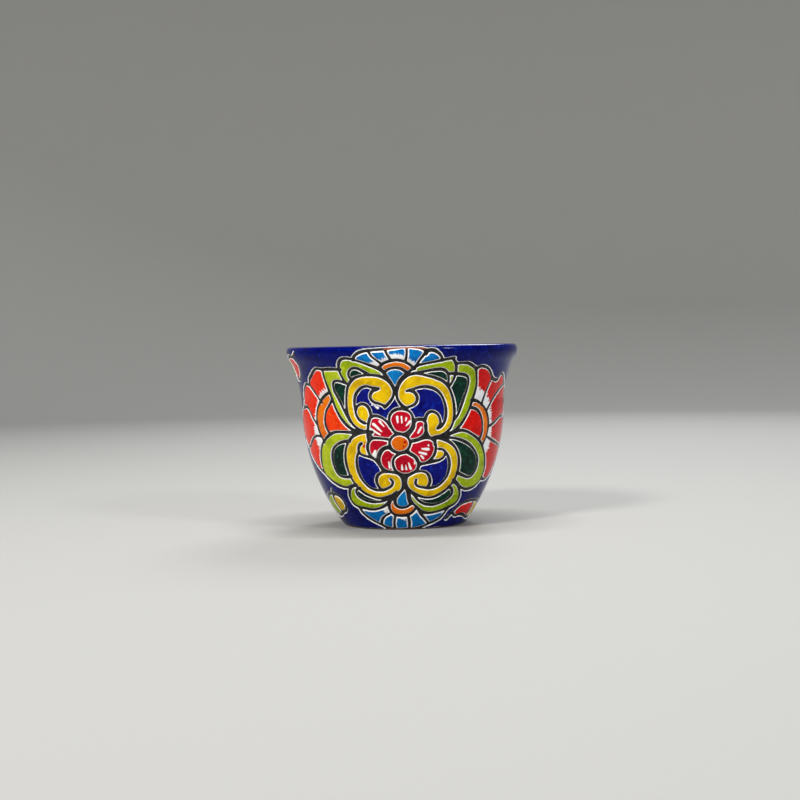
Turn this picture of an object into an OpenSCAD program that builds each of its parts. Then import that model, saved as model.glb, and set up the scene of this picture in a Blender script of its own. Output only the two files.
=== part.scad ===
// Carved and glazed earthenware planter pot with a flower medallion front and back.
// Origin: centre of the foot's underside, +Z up, the front medallion faces -Y.

/* [Pot] */
// Height over the lip
pot_h = 195; // [150:1:240]
// Outside radius at the foot
foot_r = 67; // [52:1:82]
// Outside radius at the waist, where the belly ends and the flare starts
waist_r = 111; // [90:1:134]
// Height of the waist
waist_z = 135; // [112:1:150]
// Outside radius at the widest part of the lip
lip_r = 126.5; // [115:0.5:155]
// Radius of the rolled lip
lip_roll = 6.5; // [4.5:0.5:8]
// Fullness of the belly: 1 is a straight cone
belly_power = 2.15; // [1.6:0.05:2.7]
// Sweep of the flare: 1 is a straight cone
flare_power = 1.6; // [1.3:0.05:2.2]

/* [Clay wall] */
// Thickness of the wall, clay only
wall = 9; // [7:0.5:12]
// Thickness of the floor
floor_t = 11; // [8:0.5:14]
// Height of the recess under the floor
foot_recess = 3; // [2:0.5:5]
// Width of the bare foot ring
foot_ring_w = 12; // [8:0.5:16]
// Radius of the drain hole
drain_r = 9; // [6:0.5:13]

/* [Glaze] */
// Thickness of the dark glaze that shows in the carved lines
line_t = 0.7; // [0.5:0.1:1.2]
// Thickness of the coloured enamel fields
enamel_t = 0.9; // [0.6:0.1:1.5]
// Width of bare clay above the foot
bare_foot_h = 2; // [1:0.5:5]
// Depth of the rim glaze inside the mouth
inside_band_h = 30; // [15:1:50]

/* [Drawing] */
// Edges drawn between two control points of an outline
curve_steps = 2; // [1:1:4]
// Height of one band of the turned surfaces
band_h = 13; // [9:1:20]
// Height of the first ring between two bands
first_ring = 3.9; // [2.4:0.5:5.9]

/* [Hidden] */
$fn = 96;

// The drawing is laid out on the unrolled pot: u is the angle from the front in hundredths of
// a radian, v is the height on a pot 195 high. Both are about a millimetre at the belly.
drawn_h = 195;
deg_per_u = 180 / PI / 100;
tiny = 0.01;
lip_z = pot_h - lip_roll;
clay_inset = line_t + enamel_t;

cobalt = [0.03, 0.07, 0.42];
line_dark = [0.13, 0.12, 0.11];
clay_red = [0.68, 0.40, 0.27];
yellow = [0.93, 0.74, 0.06];
lime = [0.62, 0.70, 0.10];
leaf_green = [0.02, 0.20, 0.15];
crimson = [0.74, 0.05, 0.14];
vermilion = [0.90, 0.17, 0.05];
orange = [0.90, 0.45, 0.10];
sky = [0.08, 0.47, 0.74];

// ---- the turned shape ----
function height_of(v) = v * pot_h / drawn_h;
function belly(z) = foot_r + (waist_r - foot_r) * (1 - pow(1 - max(z, 0) / waist_z, belly_power));
function flare(z) = waist_r + (lip_r - waist_r) * pow((z - waist_z) / (lip_z - waist_z), flare_power);
function outer_r(z) = z <= waist_z ? belly(z) : flare(min(z, lip_z));
// Heights between lo and hi at which every turned skin has a ring, so neighbours meet exactly.
function ring_index(z) = floor((z - first_ring) / band_h);
function ring_at(i) = min(lip_z, max(0, first_ring + i * band_h));
function ring_below(z) = ring_at(ring_index(z));
function ring_above(z) = ring_at(ring_index(z) + 1);
function rings(lo, hi) =
    concat([lo], [for (i = [ring_index(lo + tiny) + 1 : 1 : ring_index(hi - tiny)]) ring_at(i)], [hi]);
// Radius of the turned surface, which is straight between two rings.
function ring_r(z) =
    let (lo = ring_below(z), hi = ring_above(z))
    z >= lip_z ? outer_r(lip_z) : outer_r(lo) + (outer_r(hi) - outer_r(lo)) * (z - lo) / (hi - lo);

module turned_skin(depth_out, depth_in, lo, hi) {
    zs = rings(lo, hi);
    outside = [for (z = zs) [ring_r(z) - depth_out, z]];
    inside = [for (i = [len(zs) - 1 : -1 : 0]) [ring_r(zs[i]) - depth_in, zs[i]]];
    rotate_extrude() polygon(concat(outside, inside));
}

// ---- outlines ----
function wrap(i, n) = (i % n + n) % n;
function spline_point(a, b, c, d, t) =
    0.5 * ((2 * b) + (c - a) * t + (2 * a - 5 * b + 4 * c - d) * t * t + (3 * b - a - 3 * c + d) * t * t * t);
// Closed smooth outline through the control points.
function smooth(p) = [for (i = [0 : len(p) - 1], s = [0 : curve_steps - 1])
    spline_point(p[wrap(i - 1, len(p))], p[i], p[wrap(i + 1, len(p))], p[wrap(i + 2, len(p))], s / curve_steps)];
function mean_u(p) = (min([for (q = p) q[0]]) + max([for (q = p) q[0]])) / 2;
function lowest(p) = min([for (q = p) q[1]]);
function highest(p) = max([for (q = p) q[1]]);
function on_pot(p, uc) = [for (q = p) [ring_r(height_of(q[1])) * sin((q[0] - uc) * deg_per_u), height_of(q[1])]];

// Straight-sided plug through the wall under an outline.
module plug(p) {
    uc = mean_u(p);
    rotate([0, 0, uc * deg_per_u])
        rotate([90, 0, 0])
            translate([0, 0, foot_r / 4])
                linear_extrude(lip_r)
                    polygon(on_pot(p, uc));
}
// One enamel field: the coloured skin under a closed outline.
module field(p) {
    intersection() {
        turned_skin(0, enamel_t, max(bare_foot_h, ring_below(height_of(lowest(p)))), ring_above(height_of(highest(p))));
        plug(p);
    }
}
module fields(list) { for (p = list) field(smooth(p)); }

// Egg-shaped petal: centre, half width, half length, lean from upright.
function petal(c, w, l, lean) = [for (a = [0 : 45 : 315])
    let (x = w * sin(a) * (1 + 0.25 * cos(a)), y = l * cos(a))
    [c[0] + x * cos(lean) + y * sin(lean), c[1] - x * sin(lean) + y * cos(lean)]];
// Scallop of a fan round c: from radius r0 to r1, between two bearings clockwise from straight up.
function scallop(c, r0, r1, a0, a1) =
    let (m = (a0 + a1) / 2, q = (a1 - a0) / 4)
    [polar(c, r0, a0), polar(c, (r0 + r1) / 2, a0), polar(c, r1 - 2, a0 + q / 2), polar(c, r1, m),
     polar(c, r1 - 2, a1 - q / 2), polar(c, (r0 + r1) / 2, a1), polar(c, r0, a1), polar(c, r0 - 1, m)];
function polar(c, r, a) = [c[0] + r * sin(a), c[1] + r * cos(a)];
function arc_band(c, r, w, a0, a1) =
    let (n = 6)
    concat([for (i = [0 : n]) polar(c, r + w / 2, a0 + (a1 - a0) * i / n)],
           [for (i = [n : -1 : 0]) polar(c, r - w / 2, a0 + (a1 - a0) * i / n)]);

// ---- the medallion, drawn once ----
flower_c = [-3, 93];
flower_r = 8;
petals = [
    petal([-2, 116], 8, 10, 0), petal([15, 107], 5, 9, 35), petal([18, 85], 9, 11, 115),
    petal([2, 72], 9, 9, 180), petal([-17, 76], 5.5, 10.5, 195), petal([-25, 89], 8, 8, 250),
    petal([-21, 109], 8, 11, 310)
];
scrolls = [
    [[-13, 149], [-12, 156], [-22, 162], [-38, 162], [-50, 152], [-54, 136], [-51, 119], [-42, 107], [-38, 108],
     [-47, 121], [-49, 136], [-44, 149], [-35, 156], [-24, 156], [-20, 152], [-27, 147], [-26, 139], [-18, 137], [-12, 142]],
    [[-2, 143], [-1, 154], [10, 161], [27, 160], [42, 150], [48, 132], [46, 114], [38, 103], [28, 104],
     [35, 112], [41, 122], [42, 134], [36, 146], [26, 153], [12, 154], [4, 149], [10, 143], [8, 136], [2, 136]],
    [[-34, 102], [-45, 101], [-55, 92], [-61, 76], [-58, 59], [-50, 47], [-36, 40], [-20, 40], [-7, 45], [-4, 54],
     [-10, 60], [-20, 60], [-26, 54], [-20, 50], [-13, 49], [-22, 45], [-36, 46], [-47, 56], [-52, 74], [-46, 90]],
    [[34, 96], [43, 91], [53, 84], [58, 71], [56, 57], [48, 45], [34, 39], [18, 42], [6, 49], [6, 58],
     [14, 62], [22, 60], [22, 53], [16, 53], [15, 48], [24, 44], [36, 46], [46, 54], [50, 68], [44, 82]]
];
blue_windows = [
    [[-44, 138], [-39, 148], [-31, 151], [-31, 138], [-24, 133], [-28, 131], [-38, 134]],
    [[12, 149], [25, 149], [36, 140], [39, 126], [34, 122], [22, 123], [12, 130], [14, 140]],
    [[-48, 70], [-46, 80], [-34, 77], [-26, 70], [-30, 60], [-31, 52], [-42, 56]],
    [[18, 71], [30, 74], [43, 79], [46, 68], [42, 56], [32, 50], [27, 58], [18, 64]],
    [[-26, 127], [-15, 131], [-5, 134], [-10, 128], [-14, 122], [-22, 123]]
];
leaves = [
    [[-56, 166], [-55, 177], [-48, 181], [-38, 176], [-26, 169], [-29, 166], [-40, 172], [-49, 173], [-51, 167]],
    [[13, 169], [27, 173], [40, 178], [45, 172], [46, 157], [42, 158], [40, 171], [28, 170]],
    [[-61, 167], [-67, 169], [-75, 165], [-76, 150], [-70, 132], [-58, 115], [-50, 108],
     [-56, 120], [-67, 136], [-71, 153], [-68, 160], [-61, 161]],
    [[51, 170], [61, 171], [69, 163], [70, 146], [63, 124], [52, 110], [58, 126], [65, 148], [62, 164], [52, 165]],
    [[-54, 101], [-72, 102], [-86, 93], [-96, 72], [-93, 55], [-76, 49], [-60, 51], [-62, 56], [-76, 55], [-87, 62],
     [-86, 82], [-74, 95], [-56, 98]],
    [[52, 102], [70, 99], [86, 88], [97, 70], [102, 54], [86, 45], [66, 49], [58, 55], [72, 53], [86, 52], [91, 64],
     [82, 84], [67, 95], [52, 99]],
    [[-60, 47], [-68, 40], [-67, 31], [-50, 25], [-30, 26], [-15, 34], [-30, 30], [-48, 30], [-62, 37], [-57, 45]],
    [[56, 47], [66, 39], [67, 28], [48, 21], [25, 24], [8, 36], [26, 29], [46, 26], [60, 32], [57, 42]]
];
leaf_hearts = [
    [[-50, 164], [-47, 169], [-36, 168], [-33, 164], [-42, 163]],
    [[18, 165], [31, 166], [39, 168], [41, 160], [32, 163]],
    [[-68, 152], [-64, 157], [-58, 154], [-59, 142], [-58, 128], [-64, 138]],
    [[52, 161], [59, 162], [62, 150], [58, 133], [53, 122], [53, 138], [51, 150]],
    [[-59, 97], [-72, 92], [-83, 80], [-83, 64], [-72, 60], [-66, 62], [-67, 78]],
    [[56, 96], [70, 92], [82, 80], [87, 64], [78, 57], [62, 59], [64, 76]],
    [[-56, 43], [-59, 38], [-45, 33], [-25, 32], [-36, 36], [-48, 40]],
    [[55, 43], [58, 37], [46, 30], [24, 31], [36, 36], [47, 41]]
];
// Fans: a wedge or sector, an arc round it and a ring of scallops.
top_fan_c = [-6, 157];
bottom_fan_c = [-3, 46];
left_fan_c = [-50, 106];
right_fan_c = [48, 104];
line_gap = 2.5;

top_wedge = [[-6, 159], [-13, 166], [-12, 169], [-6, 170], [0, 169], [1, 166]];
top_bearings = [-55, -36, -14, 10, 33, 55];
top_reach = [36, 31, 29.5, 31.5, 37];
top_scallops = [for (i = [0 : 4]) scallop(top_fan_c, 25, top_reach[i], top_bearings[i] + line_gap, top_bearings[i + 1] - line_gap)];
top_arc = arc_band(top_fan_c, 18.5, 5, -40, 42);

bottom_wedge = [[-4, 44], [-10, 34], [-8, 30], [-3, 29], [3, 30], [4, 35]];
bottom_bearings = [143, 167, 193, 217];
bottom_reach = [44, 41, 44];
bottom_scallops = concat(
    [for (i = [0 : 2]) scallop(bottom_fan_c, 31, bottom_reach[i], bottom_bearings[i] + line_gap, bottom_bearings[i + 1] - line_gap)],
    [[[31, 19], [42, 17], [53, 18], [50, 12], [38, 8], [31, 11]], [[-36, 20], [-48, 21], [-60, 20], [-55, 12], [-43, 7], [-34, 12]]]);
bottom_arc = arc_band(bottom_fan_c, 25, 5, 143, 214);

right_scallops = [
    [[75, 167], [82, 168], [90, 164], [95, 159], [91, 151], [87, 141], [84, 136], [76, 140], [78, 150], [76, 158]],
    [[99, 155], [104, 153], [110, 154], [114, 159], [120, 159], [128, 152], [117, 148], [107, 141], [97, 131], [89, 134], [94, 145]],
    [[100, 125], [108, 134], [118, 141], [128, 145], [138, 147], [143, 137], [141, 124], [136, 120], [126, 120], [116, 117], [106, 113], [100, 112]],
    [[101, 104], [109, 107], [119, 112], [129, 114], [139, 114], [145, 108], [143, 90], [137, 89], [127, 91], [117, 93], [107, 96], [101, 99]],
    [[96, 93], [104, 90], [116, 86], [127, 84], [137, 82], [142, 75], [136, 63], [128, 56], [119, 53], [110, 54], [107, 62], [103, 72], [98, 80], [94, 87]]
];
left_scallops = [
    [[-81, 168], [-87, 168], [-93, 165], [-99, 161], [-102, 156], [-97, 149], [-91, 143], [-85, 147], [-80, 150], [-81, 158]],
    [[-107, 152], [-114, 152], [-121, 148], [-125, 142], [-126, 135], [-120, 134], [-112, 130], [-105, 123], [-101, 119], [-98, 131], [-93, 136], [-98, 143], [-104, 149]],
    [[-130, 127], [-121, 127], [-114, 124], [-108, 118], [-101, 111], [-101, 104], [-110, 101], [-118, 96], [-126, 91], [-135, 90], [-141, 97], [-144, 108], [-143, 118], [-138, 124]],
    [[-128, 85], [-122, 87], [-114, 92], [-106, 97], [-98, 97], [-102, 88], [-106, 78], [-109, 67], [-114, 68], [-121, 74], [-127, 80]]
];
right_arc = arc_band(right_fan_c, 41, 6, 38, 100);
left_arc = arc_band(left_fan_c, 46, 6, -96, -44);
right_sector = [[58, 106], [66, 118], [75, 123], [82, 115], [84, 102], [72, 103]];
left_sector = [[-57, 109], [-66, 122], [-74, 133], [-81, 126], [-85, 110], [-70, 108]];

// Low leaf on the right, low bud on the left, and the bud under the rim, each in two colours.
red_leaf = [[77, 17], [84, 21], [95, 23], [106, 23], [110, 21], [111, 16], [108, 12], [100, 14], [90, 16], [82, 15]];
red_leaf_tip = [[118, 22], [127, 21], [138, 18], [144, 14], [138, 12], [127, 11], [119, 12], [120, 17]];
yellow_bud = petal([-98, 28], 8, 7.5, 0);
yellow_bud_tip = [[-114, 33], [-126, 31], [-138, 27], [-143, 23], [-138, 19], [-128, 16], [-116, 17], [-110, 20], [-114, 27]];
rim_bud = [[-122, 181], [-132, 182], [-133, 173], [-131, 165], [-126, 165], [-121, 170], [-120, 177]];
rim_bud_tip = [[-139, 181], [-145, 178], [-147, 173], [-144, 168], [-139, 165], [-141, 173]];

// The edge of the cobalt ground round the medallion, and round each side fan.
medallion_edge = [
    [-6, 187.5], [20, 187.5], [38, 185], [48, 181], [56, 175], [66, 174], [74, 165], [74, 146], [68, 126], [60, 110],
    [74, 102], [90, 91], [101, 72], [106, 54], [88, 41], [72, 43], [71, 30], [64, 21], [56, 14], [44, 6],
    [20, 3], [-4, 3], [-26, 3], [-46, 4], [-62, 13], [-70, 24], [-72, 38], [-68, 45], [-80, 45], [-97, 52],
    [-100, 72], [-90, 95], [-74, 106], [-60, 108], [-72, 126], [-80, 148], [-79, 166], [-66, 173], [-60, 178], [-50, 185],
    [-40, 184], [-28, 187.5]
];
right_fan_edge = [
    [57, 104], [62, 130], [65, 172], [77, 173], [86, 172], [94, 167], [99, 160], [104, 158], [109, 159], [112, 163],
    [118, 165], [125, 162], [131, 156], [139, 152], [145, 145], [148, 134], [147, 124], [150, 103], [148, 82],
    [146, 70], [139, 58], [130, 51], [119, 48], [108, 48], [100, 52]
];
left_fan_edge = [
    [-55, 106], [-104, 58], [-115, 63], [-123, 69], [-131, 77], [-133, 85], [-139, 88], [-146, 97], [-149, 108],
    [-148, 118], [-143, 128], [-135, 132], [-131, 137], [-129, 145], [-121, 153], [-114, 158], [-107, 157],
    [-104, 163], [-98, 167], [-93, 171], [-87, 174], [-78, 173], [-68, 170], [-64, 135]
];
red_leaf_edge = [[62, 9], [69, 17], [84, 27], [95, 29], [110, 29], [126, 27], [140, 24], [150, 15], [140, 7], [126, 5], [112, 6], [100, 9], [90, 11], [73, 12]];
yellow_bud_edge = [[-103, 44], [-92, 37], [-85, 29], [-87, 21], [-95, 16], [-103, 15], [-116, 11], [-130, 10], [-142, 15], [-150, 23], [-140, 31], [-126, 36], [-114, 39]];
rim_bud_edge = [[-117, 187], [-122, 187], [-134, 187], [-147, 183], [-153, 173], [-148, 163], [-136, 158], [-126, 159], [-118, 166], [-115, 177]];

// ---- turned pieces ----
function inner_r(z) = ring_r(z) - clay_inset - wall;
floor_corner = 8;
module clay_2d() {
    outside = [for (z = rings(0, lip_z)) [ring_r(z) - clay_inset, z]];
    up = rings(floor_t + floor_corner, lip_z);
    inside = [for (i = [len(up) - 1 : -1 : 0]) [inner_r(up[i]), up[i]]];
    foot_in = foot_r - clay_inset - foot_ring_w;
    polygon(concat([[drain_r, foot_recess], [foot_in, foot_recess], [foot_in, 0]], outside, inside,
        [[inner_r(floor_t + floor_corner) - floor_corner, floor_t], [drain_r, floor_t]]));
    translate([lip_r - lip_roll, lip_z]) circle(lip_roll - clay_inset);
}
module clay_body() color(clay_red) rotate_extrude() clay_2d();

module line_glaze() color(line_dark) turned_skin(enamel_t, clay_inset, bare_foot_h, lip_z);

module rim_glaze() color(cobalt) rotate_extrude() difference() {
    union() {
        translate([lip_r - lip_roll, lip_z]) circle(lip_roll);
        up = rings(lip_z - inside_band_h, lip_z);
        polygon(concat([for (z = up) [inner_r(z) + wall / 2, z]],
            [for (i = [len(up) - 1 : -1 : 0]) [inner_r(up[i]) - enamel_t, up[i]]]));
    }
    clay_2d();
    translate([lip_r - lip_roll, lip_z - 3 * lip_roll]) square([3 * lip_roll, 3 * lip_roll]);
}

module ground_openings() {
    for (p = [medallion_edge, right_fan_edge, left_fan_edge, red_leaf_edge, yellow_bud_edge, rim_bud_edge]) plug(p);
}
module blue_ground() color(cobalt) difference() {
    turned_skin(0, enamel_t, bare_foot_h, lip_z);
    ground_openings();
    rotate([0, 0, 180]) ground_openings();
}

// ---- medallion pieces, the same on both sides ----
module facing(side) { rotate([0, 0, side == "back" ? 180 : 0]) children(); }

module flower_centre(side) color(orange) facing(side) field([for (a = [0 : 20 : 340]) polar(flower_c, flower_r, a)]);
module flower_petals(side) color(crimson) facing(side) fields(petals);
module scroll_set(side) color(yellow) facing(side) fields(scrolls);
module window_set(side) color(cobalt) facing(side) fields(blue_windows);
module leaf_set(side) color(lime) facing(side) fields(leaves);
module heart_set(side) color(leaf_green) facing(side) fields(leaf_hearts);
module top_fan(side) color(sky) facing(side) fields(concat([top_wedge], top_scallops));
module top_fan_arc(side) color(orange) facing(side) field(top_arc);
module bottom_fan(side) color(sky) facing(side) fields(concat([bottom_wedge], bottom_scallops));
module bottom_fan_arc(side) color(orange) facing(side) field(bottom_arc);
module side_fans(side) color(vermilion) facing(side) fields(concat(right_scallops, left_scallops));
module side_fan_arcs(side) color(orange) facing(side) { field(right_arc); field(left_arc); }
module side_fan_sectors(side) color(vermilion) facing(side) fields([right_sector, left_sector]);
module rim_bud_set(side) color(crimson) facing(side) fields([rim_bud, rim_bud_tip]);
module low_motifs(side) color(yellow) facing(side) fields([red_leaf, red_leaf_tip, yellow_bud, yellow_bud_tip]);

clay_body();
line_glaze();
rim_glaze();
blue_ground();
flower_centre("front");  // front_flower_centre
flower_petals("front");  // front_flower_petals
scroll_set("front");  // front_scrolls
window_set("front");  // front_blue_windows
leaf_set("front");  // front_leaves
heart_set("front");  // front_leaf_hearts
top_fan("front");  // front_top_fan
top_fan_arc("front");  // front_top_fan_arc
bottom_fan("front");  // front_bottom_fan
bottom_fan_arc("front");  // front_bottom_fan_arc
side_fans("front");  // front_side_fans
side_fan_arcs("front");  // front_side_fan_arcs
side_fan_sectors("front");  // front_side_fan_sectors
low_motifs("front");  // front_low_motifs
rim_bud_set("front");  // front_rim_bud
flower_centre("back");  // back_flower_centre
flower_petals("back");  // back_flower_petals
scroll_set("back");  // back_scrolls
window_set("back");  // back_blue_windows
leaf_set("back");  // back_leaves
heart_set("back");  // back_leaf_hearts
top_fan("back");  // back_top_fan
top_fan_arc("back");  // back_top_fan_arc
bottom_fan("back");  // back_bottom_fan
bottom_fan_arc("back");  // back_bottom_fan_arc
side_fans("back");  // back_side_fans
side_fan_arcs("back");  // back_side_fan_arcs
side_fan_sectors("back");  // back_side_fan_sectors
low_motifs("back");  // back_low_motifs
rim_bud_set("back");  // back_rim_bud
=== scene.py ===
import math

import bpy
import numpy as np
from mathutils import Matrix, Vector
from mathutils.geometry import delaunay_2d_cdt


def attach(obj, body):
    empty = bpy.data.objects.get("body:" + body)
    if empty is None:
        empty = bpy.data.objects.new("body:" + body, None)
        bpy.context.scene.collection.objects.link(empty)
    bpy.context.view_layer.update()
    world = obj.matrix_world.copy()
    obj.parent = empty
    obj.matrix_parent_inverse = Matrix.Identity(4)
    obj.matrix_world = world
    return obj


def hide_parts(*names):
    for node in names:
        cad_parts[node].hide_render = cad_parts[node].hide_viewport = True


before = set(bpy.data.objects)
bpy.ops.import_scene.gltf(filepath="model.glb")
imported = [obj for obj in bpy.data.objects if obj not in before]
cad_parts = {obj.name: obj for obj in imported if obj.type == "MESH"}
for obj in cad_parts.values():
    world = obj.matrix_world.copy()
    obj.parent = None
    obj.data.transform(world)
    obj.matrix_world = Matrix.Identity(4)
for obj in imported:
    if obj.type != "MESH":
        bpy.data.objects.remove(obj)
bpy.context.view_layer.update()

# Carved and glazed earthenware planter pot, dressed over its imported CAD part.
#
# The decoration is a net of carved lines on the unrolled pot. The distance to the nearest
# line makes the dark groove bed, and each closed field of the net becomes one domed puddle
# of enamel. u is the angle from the middle of a side in hundredths of a radian and v is the
# height, so both are about a millimetre at the belly. Sizes are in mm until the last step.
MM = 0.001
SIDES = {"front": 0.0, "back": math.pi}

# ---- the turned shape ----
FOOT_R, WAIST_R, WAIST_Z = 67.0, 111.0, 135.0
BELLY_POWER, FLARE_POWER = 2.15, 1.6
LIP_R, LIP_ROLL, LIP_Z, LIP_SQUARE = 126.5, 6.5, 188.5, 0.62
# The outer face swells a little under the lip: how far, at what height, over what height.
SWELL, SWELL_Z, SWELL_SPAN = 1.5, 182.0, 4.5
FOOT_SLOPE = 0.7
WALL, SKIN = 9.0, 1.6
FLOOR_Z, FLOOR_CORNER, RECESS_Z, DRAIN_R, FOOT_RING = 11.0, 8.0, 3.0, 9.0, 12.0
HALF_TURN = 50.0 * math.pi
PROFILE_STEP, PROFILE_BLUR, BLUR_CELLS = 0.25, 1.0, 16


def outer_r(z):
    """Radius of the outside at height z, straight on below the foot."""
    below = (1 - np.clip(z, 0, WAIST_Z) / WAIST_Z) ** BELLY_POWER
    belly = FOOT_R + (WAIST_R - FOOT_R) * (1 - below)
    t = np.clip((z - WAIST_Z) / (LIP_Z - WAIST_Z), 0, 1)
    swell = SWELL * np.exp(-((z - SWELL_Z) / SWELL_SPAN) ** 2)
    flare = WAIST_R + (LIP_R - WAIST_R) * t ** FLARE_POWER + swell
    return np.where(z <= WAIST_Z, belly, flare) + np.minimum(z, 0) * FOOT_SLOPE


def make_profile():
    """The outside as radius, height and outward normal against v, which runs on over the lip."""
    v = np.arange(-8.0, 214.0, PROFILE_STEP)
    turn = np.clip((v - LIP_Z) / LIP_ROLL, 0, 3.4)
    out, up = (np.sign(a) * np.abs(a) ** LIP_SQUARE for a in (np.cos(turn), np.sin(turn)))
    r = np.where(v < LIP_Z, outer_r(v), LIP_R - LIP_ROLL + LIP_ROLL * out)
    z = np.where(v < LIP_Z, v, LIP_Z + LIP_ROLL * up)
    cells = np.arange(-BLUR_CELLS, BLUR_CELLS + 1)
    kernel = np.exp(-0.5 * (cells * PROFILE_STEP / PROFILE_BLUR) ** 2)
    kernel /= kernel.sum()
    r, z = (np.convolve(np.pad(a, BLUR_CELLS, mode="edge"), kernel, mode="valid") for a in (r, z))
    dr, dz = np.gradient(r, v), np.gradient(z, v)
    length = np.hypot(dr, dz)
    return v, r, z, dz / length, -dr / length


PROFILE = make_profile()


def thrown(angle, z):
    """How far the hand-thrown wall leaves a true circle."""
    return 0.28 * np.sin(2 * angle + 0.7) + 0.12 * np.sin(3 * angle + z / 40)


def on_pot(u, v, depth, side):
    """Points in metres, depth mm under the glazed outside at (u, v) of one side."""
    r, z, nr, nz = (np.interp(v, PROFILE[0], a) for a in PROFILE[1:])
    angle = u / 100 + SIDES[side]
    r = r + thrown(angle, z) - depth * nr
    return np.stack([r * np.sin(angle), -r * np.cos(angle), z - depth * nz], -1) * MM


# ---- the carved lines: smooth strokes through points, each written u,v ----
SCROLL_LINES = [
    # upper left: outer line, inner line, bulb, second bulb
    [-17,132, -13,136, -9,142, -8,149, -10,155, -14,160, -21,164, -30,165, -39,164, -46,161,
     -52,154, -55,145, -56,135, -55,125, -51,116, -45,110, -38,107, -30,106],
    [-22,151, -28,152, -34,153.5, -40,151, -45,145, -47,138, -46.5,130, -45,123, -41.5,118,
     -37,115.5],
    [-24,150, -28,148.5, -30.5,144, -30,140, -27,137, -22,135.5, -17,133],
    [-45.5,129, -44,133, -39.5,135.5, -35,134, -32,130, -30.5,124],
    # upper right
    [2,131, -2,135, -5,141, -5,148, -3,155, 1,161, 7,165, 14,165.5, 22,163.5, 30,161, 38,157,
     44,150.5, 48.5,141, 50.5,131, 50.5,121, 48,111, 43,104.5, 37,101, 31,99.5],
    [4,148, 9,149.5, 15,151.5, 22,152, 29,150, 35,145.5, 39,139, 41.5,130, 41.5,121, 39.5,114,
     36,109.5, 33,108.5],
    [7,148.5, 11,146.5, 13.5,142, 13,137, 10,133.5, 2,130.5],
    [34,109.5, 36,114, 35,120, 32,124.5, 27,126.5, 23,124, 21,119],
    # lower left: outer line, inner line, hook, end curl
    [-38,106, -46,104, -53,99.5, -59,91.5, -62.5,82, -63.5,71, -62,59, -57,48.5, -49,41, -40,37,
     -31,35, -22,36, -14,38.5, -9,42],
    [-46,85, -49,79, -50.5,70, -49.5,61, -46.5,54, -41,47.5, -34,44.5, -26,44, -19,46, -14,49,
     -12.5,53, -14.5,56],
    [-42,94, -44.5,92, -46,87, -44.5,83, -40,81, -34,79.5, -29,77, -26,73],
    [-26,44.5, -29.5,49, -30.5,55, -27.5,61, -21,64, -13,63.5, -6,61.5, -2,57, -1,50, -3,44,
     -8,40.5],
    # lower right
    [31,99, 38,97.5, 46,94, 53,88, 58,80, 60.5,70, 60.5,61, 58,52, 52,44.5, 44,39, 35,35.5, 26,35,
     17,37.5, 9,41.5, 4,46, 2,52, 3,59],
    [35.5,87, 40,86, 43,83, 46,79, 48.5,72, 49,65, 47.5,57, 43,51, 37,47, 29,45.5, 21,46.5, 15,48,
     12.5,51, 13,55],
    [42.5,82, 41,78, 36,75, 30,74],
    [26,46, 28.5,51, 27.5,57, 24,62, 18,64, 10,63, 4,59.5],
]
FLOWER_LINES = [
    # ring of the disc, then the petals from the top, clockwise
    [-3.5,104, -10.5,101, -13.5,94, -10.5,87, -3.5,84, 3.5,87, 6.5,94, 3.5,101, -3.5,104],
    [-4,104, -8,106, -11,111, -13,118, -12,124, -8,128.5, -2,130, 4,128.5, 8,124.5, 9.5,118.5,
     8.5,111, 5,106, 0,103],
    [4,101, 7,105, 10,110, 10.5,115, 13,118.5, 18,118.5, 21.5,114.5, 21.5,107, 19,101.5, 14,98,
     7.5,96],
    [9.5,118.5, 15,118.5, 21,119],
    [7,96, 13,97, 20,99, 27,98, 31.5,93, 32,86, 30,79.5, 25,74, 19,72, 14,74.5, 11,79.5, 6,83,
     4,86],
    [21,112, 22.5,105, 26,99.5, 32,100],
    [2,84.5, -5,82.5, -10,78, -11,72, -9,65.5, -4,61.5, 2,60.5, 8,61.5, 13,65.5, 15,71, 13.5,77,
     9,81.5, 2,84.5],
    [-10,86, -14,89, -19,88, -23,83, -25,77, -24,71, -20,66, -12,63.5],
    [-13,91, -19,89.5, -23.5,85.5, -26,80, -27,75],
    [-32,79, -35,84, -36,90, -34,96, -30,99.5, -23,99.5, -15,98.5],
    [-34,96, -35,102, -34,110, -33,116, -31,121.5, -26,123, -20,121, -15,116.5, -12,111.5],
    [-31,101, -34,106],
    [15,71, 20,72, 28,73, 32,75],
    [14,66, 15.5,70],
    [31,99, 31,92],
    [-25,71, -22,66, -19,64],
]
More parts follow.
